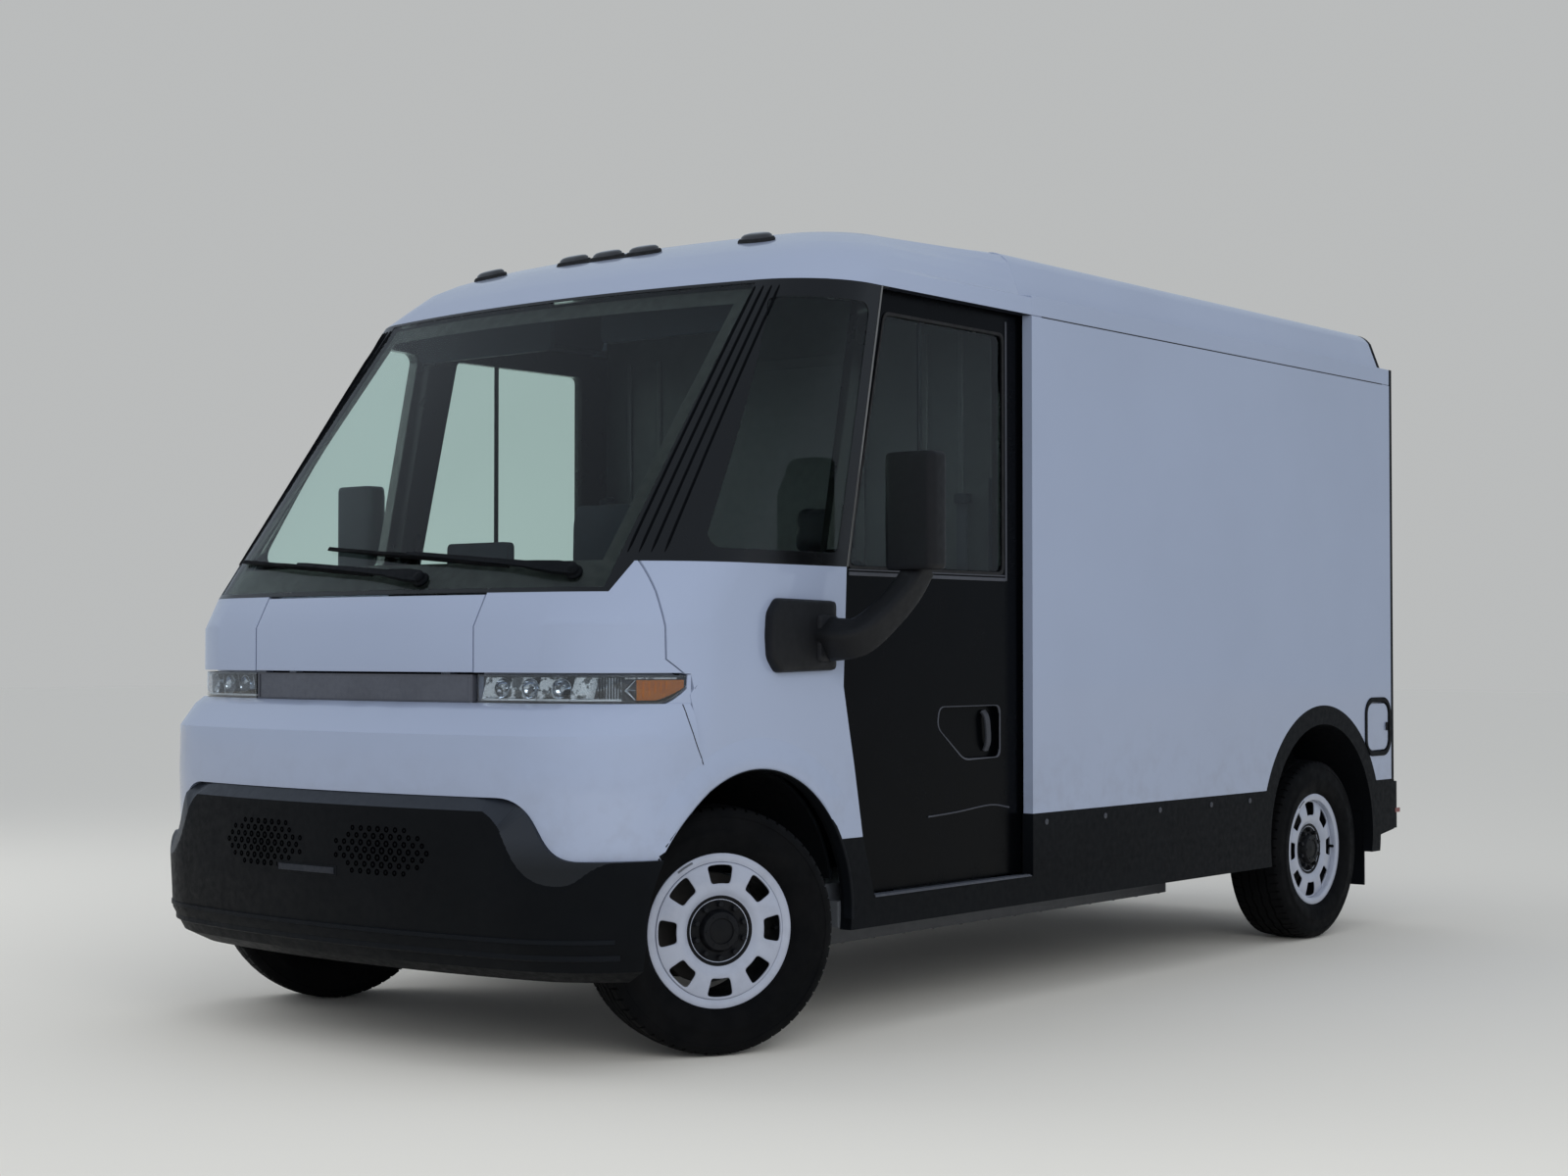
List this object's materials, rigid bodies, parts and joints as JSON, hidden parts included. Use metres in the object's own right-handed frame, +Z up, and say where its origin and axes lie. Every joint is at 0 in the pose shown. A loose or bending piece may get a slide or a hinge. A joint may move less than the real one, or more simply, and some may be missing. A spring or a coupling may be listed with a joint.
{
  "type": "electric cargo van",
  "caption": "Step-in electric cargo van with sliding cab doors, hinged rear doors, steered front wheels, an opening nose panel and a charge lid.",
  "frame": {"origin": "on the ground, midway between the two bumpers and the two sides", "axes": "+Y towards the rear, +X to the vehicle's left, +Z up"},
  "size_m": [2.84, 5.4, 2.7],
  "materials": {
    "white_paint": "gloss white body paint",
    "black_gloss": "gloss black",
    "black_plastic": "grained black plastic",
    "window_glass": "tinted safety glass",
    "lamp_glass": "clear lamp lens",
    "smoked_lens": "smoked lens in a black base",
    "red_lens": "red lens",
    "satin_silver": "satin silver",
    "white_wheel": "painted steel wheel",
    "tyre_rubber": "tyre rubber",
    "chassis_black": "black coated steel",
    "battery_case": "bare cast case",
    "floor_grey": "grey floor and bulkhead",
    "cab_trim": "dark grey cab trim",
    "seat_fabric": "black woven seat cover"
  },
  "bodies": {
    "body": {"battery_pack": "battery_case", "bulkhead": "floor_grey", "cab_frame": "black_gloss", "charge_ring": "black_plastic", "chassis_frame": "chassis_black", "dashboard": "cab_trim", "driver_seat": "seat_fabric", "fenders": "white_paint", "floor_panel": "floor_grey", "front_bumper": "black_plastic", "front_fascia": "white_paint", "front_suspension": "chassis_black", "grille_bar": "satin_silver", "headlamps": "lamp_glass", "marker_lamps": "smoked_lens", "mirrors": "black_plastic", "quarter_glass": "window_glass", "rear_bumper": "black_plastic", "rear_portal": "black_plastic", "rear_suspension": "chassis_black", "roof_front_cap": "white_paint", "roof_panel": "white_paint", "seat_base": "cab_trim", "side_cladding": "black_plastic", "side_panel_left": "white_paint", "side_panel_right": "white_paint", "steering_wheel": "cab_trim", "tail_lamps": "red_lens", "wheel_liners": "black_plastic", "windshield": "window_glass", "wipers": "black_plastic"},
    "knuckle_left": {"knuckle_left": "chassis_black"},
    "knuckle_right": {"knuckle_right": "chassis_black"},
    "wheel_front_left": {"wheel_front_left": "white_wheel", "tyre_front_left": "tyre_rubber"},
    "wheel_front_right": {"wheel_front_right": "white_wheel", "tyre_front_right": "tyre_rubber"},
    "wheel_rear_left": {"wheel_rear_left": "white_wheel", "tyre_rear_left": "tyre_rubber"},
    "wheel_rear_right": {"wheel_rear_right": "white_wheel", "tyre_rear_right": "tyre_rubber"},
    "door_left": {"door_left": "black_gloss", "door_glass_left": "window_glass"},
    "door_right": {"door_right": "black_gloss", "door_glass_right": "window_glass"},
    "rear_door_left": {"rear_door_left": "white_paint"},
    "rear_door_right": {"rear_door_right": "white_paint"},
    "hood": {"hood": "white_paint"},
    "charge_lid": {"charge_lid": "white_paint"}
  },
  "joints": [
    {"name": "steer_left", "type": "hinge", "parent": "body", "child": "knuckle_left", "pos_m": [0.865, -1.895, 0.381], "axis": [0, 0, 1], "range_deg": [-8, 62]},
    {"name": "steer_right", "type": "hinge", "parent": "body", "child": "knuckle_right", "pos_m": [-0.865, -1.895, 0.381], "axis": [0, 0, 1], "range_deg": [-8, 62]},
    {"name": "spin_front_left", "type": "hinge", "parent": "knuckle_left", "child": "wheel_front_left", "pos_m": [0.9211, -1.9236, 0.381], "axis": [0.891, -0.454, 0], "continuous": true},
    {"name": "spin_front_right", "type": "hinge", "parent": "knuckle_right", "child": "wheel_front_right", "pos_m": [-0.9211, -1.8664, 0.381], "axis": [0.891, -0.454, 0], "continuous": true},
    {"name": "spin_rear_left", "type": "hinge", "parent": "body", "child": "wheel_rear_left", "pos_m": [0.955, 1.902, 0.381], "axis": [1, 0, 0], "continuous": true},
    {"name": "spin_rear_right", "type": "hinge", "parent": "body", "child": "wheel_rear_right", "pos_m": [-0.955, 1.902, 0.381], "axis": [1, 0, 0], "continuous": true},
    {"name": "slide_door_left", "type": "slide", "parent": "body", "child": "door_left", "axis": [0, 1, 0], "range_m": [0, 0.9]},
    {"name": "slide_door_right", "type": "slide", "parent": "body", "child": "door_right", "axis": [0, 1, 0], "range_m": [0, 0.9]},
    {"name": "rear_door_left_hinge", "type": "hinge", "parent": "body", "child": "rear_door_left", "pos_m": [0.965, 2.612, 1.55], "axis": [0, 0, -1], "range_deg": [0, 180]},
    {"name": "rear_door_right_hinge", "type": "hinge", "parent": "body", "child": "rear_door_right", "pos_m": [-0.965, 2.612, 1.55], "axis": [0, 0, 1], "range_deg": [0, 180]},
    {"name": "hood_hinge", "type": "hinge", "parent": "body", "child": "hood", "pos_m": [0, -2.512, 1.412], "axis": [-1, 0, 0], "range_deg": [0, 70]},
    {"name": "charge_lid_hinge", "type": "hinge", "parent": "body", "child": "charge_lid", "pos_m": [1.104, 2.3285, 0.893], "axis": [0, 0, -1], "range_deg": [0, 110]}
  ],
  "couplings": [
    {"joint": "steer_right", "follows": "steer_left", "ratio": 1}
  ]
}
